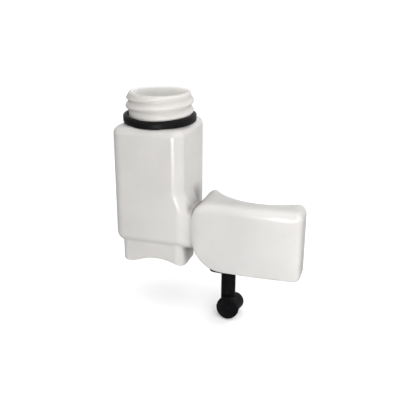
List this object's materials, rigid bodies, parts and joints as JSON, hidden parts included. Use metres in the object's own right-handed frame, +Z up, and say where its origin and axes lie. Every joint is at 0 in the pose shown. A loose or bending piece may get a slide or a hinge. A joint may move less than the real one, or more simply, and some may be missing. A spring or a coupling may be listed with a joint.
{
  "type": "fluid tank",
  "caption": "Blow-moulded translucent two-chamber fluid tank with a threaded filler neck, a rubber neck ring and a shut-off tap under its side lobe.",
  "frame": {"origin": "on the filler neck's axis, at the shoulder plane the neck ring rests on", "axes": "+Z up along the filler neck, +X from the tall chamber to the side lobe, -Y towards the front face that carries both chambers"},
  "size_m": [0.1704, 0.0715, 0.1997],
  "materials": {
    "tank": "glossy translucent polyethylene",
    "ring": "black rubber",
    "insert": "turned brass",
    "gasket": "black nitrile",
    "tap": "black moulded nylon",
    "screw": "zinc plated",
    "cage": "natural nylon",
    "gauze": "woven stainless",
    "seat": "nitrile",
    "rotor": "acetal",
    "seal": "nitrile",
    "washer": "spring steel",
    "nut": "black moulded nylon",
    "knob": "black moulded nylon",
    "knob_screw": "black oxide"
  },
  "bodies": {
    "tank": {"tank_shell": "tank", "neck_ring": "ring", "outlet_inserts": "insert", "flange_gasket": "gasket", "tap_body": "tap", "flange_screws": "screw", "strainer_cage": "cage", "strainer_gauze": "gauze", "valve_seat": "seat", "retaining_nut": "nut"},
    "knob": {"tap_knob": "knob", "tap_rotor": "rotor", "rotor_seal": "seal", "spring_washer": "washer", "knob_screw": "knob_screw"}
  },
  "joints": [
    {"name": "tap_turn", "type": "hinge", "parent": "tank", "child": "knob", "pos_m": [0.0749, -0.017, -0.1632], "axis": [-0.1087, -0.9843, 0.1392], "range_deg": [0, 90]}
  ]
}
